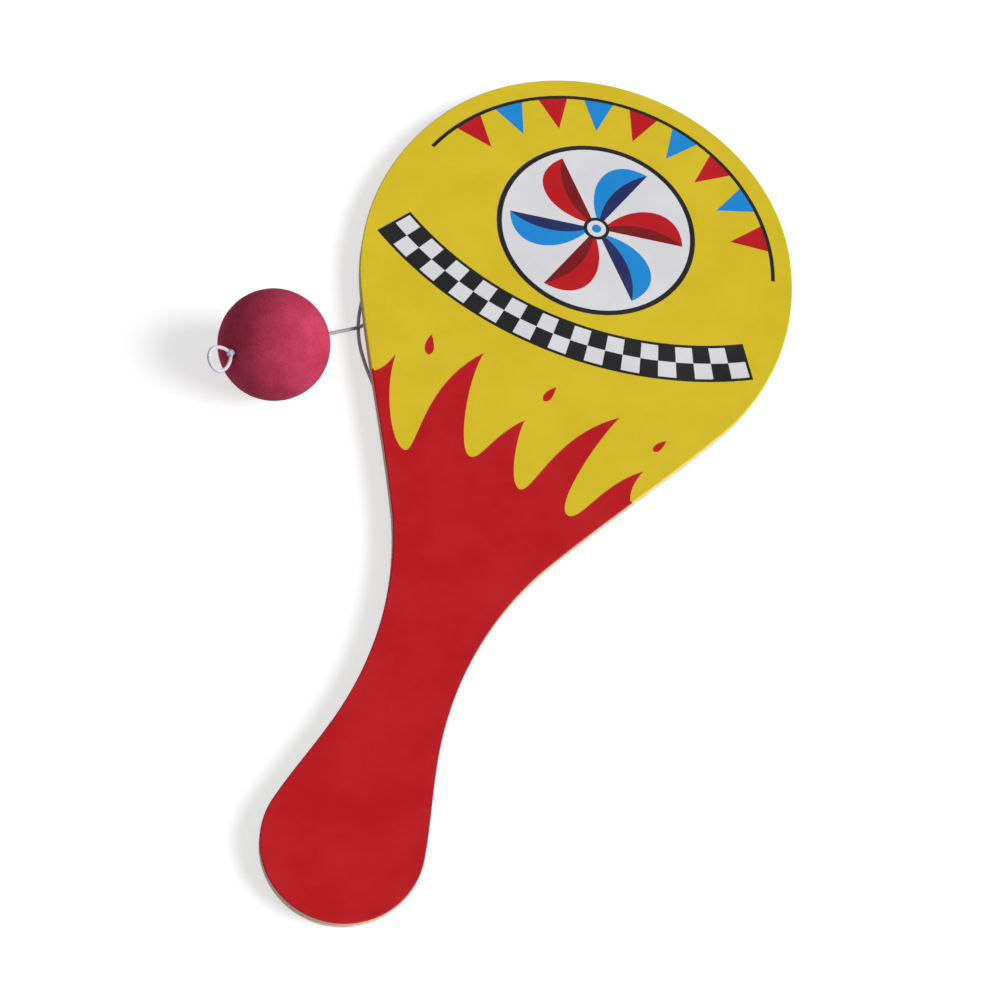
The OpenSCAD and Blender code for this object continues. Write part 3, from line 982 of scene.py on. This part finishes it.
def makeFloor(look):
    bpy.ops.object.select_all(action="DESELECT")
    bpy.ops.mesh.primitive_plane_add(size=look["size"], location=(0, 0, cadBox[0].z - look["gap"] * mm))
    floor = bpy.context.object
    floor.name = "table_top"
    bpy.ops.object.transform_apply(location=True, rotation=True, scale=True)
    shade = Shade("tableWhite")
    shade.done(Base_Color=tint(*look["colour"]), Roughness=0.9, Specular_IOR_Level=0.1)
    rays = shade.add("LightPath")
    seen = shade.maths("MAXIMUM", rays.outputs["Is Camera Ray"], rays.outputs["Is Glossy Ray"])
    seen = shade.maths("MAXIMUM", seen, rays.outputs["Is Transmission Ray"])
    glow = shade.add("Emission", Color=(1, 1, 1, 1), Strength=shade.maths("MULTIPLY", seen, look["lift"]))
    both = shade.add("AddShader")
    shade.feed(both.inputs[0], shade.shader.outputs["BSDF"])
    shade.feed(both.inputs[1], glow.outputs["Emission"])
    shade.feed(shade.tree.nodes["Material Output"].inputs["Surface"], both.outputs["Shader"])
    floor.data.materials.append(shade.material)


makeFloor(floorLook)

# The key is an even light from the right, so that the floor stays white out to the horizon
lampLook = {
    "key": {"from": (1.12, 0.12, 0.84), "spread": 40, "strength": 4.0},
    "fill": {"place": (-0.6, -0.7, 0.9), "size": 1.2, "power": 0.9},
    "sky": 0.22,
}


def makeLamps(look):
    target = (cadBox[0] + cadBox[1]) / 2
    bpy.ops.object.light_add(type="SUN", location=Vector(look["key"]["from"]))
    key = bpy.context.object
    key.name = "key_lamp"
    key.data.angle = math.radians(look["key"]["spread"])
    key.data.energy = look["key"]["strength"]
    bpy.ops.object.light_add(type="AREA", location=Vector(look["fill"]["place"]))
    fill = bpy.context.object
    fill.name = "fill_lamp"
    fill.data.shape = "DISK"
    fill.data.size = look["fill"]["size"]
    fill.data.energy = look["fill"]["power"]
    for lamp, aim in ((key, Vector()), (fill, target)):
        lamp.rotation_mode = "QUATERNION"
        lamp.rotation_quaternion = (aim - lamp.location).to_track_quat("-Z", "Y")
    world = bpy.data.worlds.new("studio")
    bpy.context.scene.world = world
    world.use_nodes = True
    tree = world.node_tree
    sky = tree.nodes["Background"]
    sky.inputs["Strength"].default_value = look["sky"]
    white = tree.nodes.new("ShaderNodeBackground")
    rays = tree.nodes.new("ShaderNodeLightPath")
    either = tree.nodes.new("ShaderNodeMath")
    either.operation = "MAXIMUM"
    again = tree.nodes.new("ShaderNodeMath")
    again.operation = "MAXIMUM"
    choice = tree.nodes.new("ShaderNodeMixShader")
    for node in (sky, white):
        node.inputs["Color"].default_value = (1, 1, 1, 1)
    tree.links.new(rays.outputs["Is Camera Ray"], either.inputs[0])
    tree.links.new(rays.outputs["Is Glossy Ray"], either.inputs[1])
    tree.links.new(either.outputs["Value"], again.inputs[0])
    tree.links.new(rays.outputs["Is Transmission Ray"], again.inputs[1])
    tree.links.new(again.outputs["Value"], choice.inputs["Fac"])
    tree.links.new(sky.outputs["Background"], choice.inputs[1])
    tree.links.new(white.outputs["Background"], choice.inputs[2])
    tree.links.new(choice.outputs["Shader"], tree.nodes["World Output"].inputs["Surface"])


makeLamps(lampLook)
bpy.context.scene.view_settings.view_transform = "Standard"
print("lamps are lit")
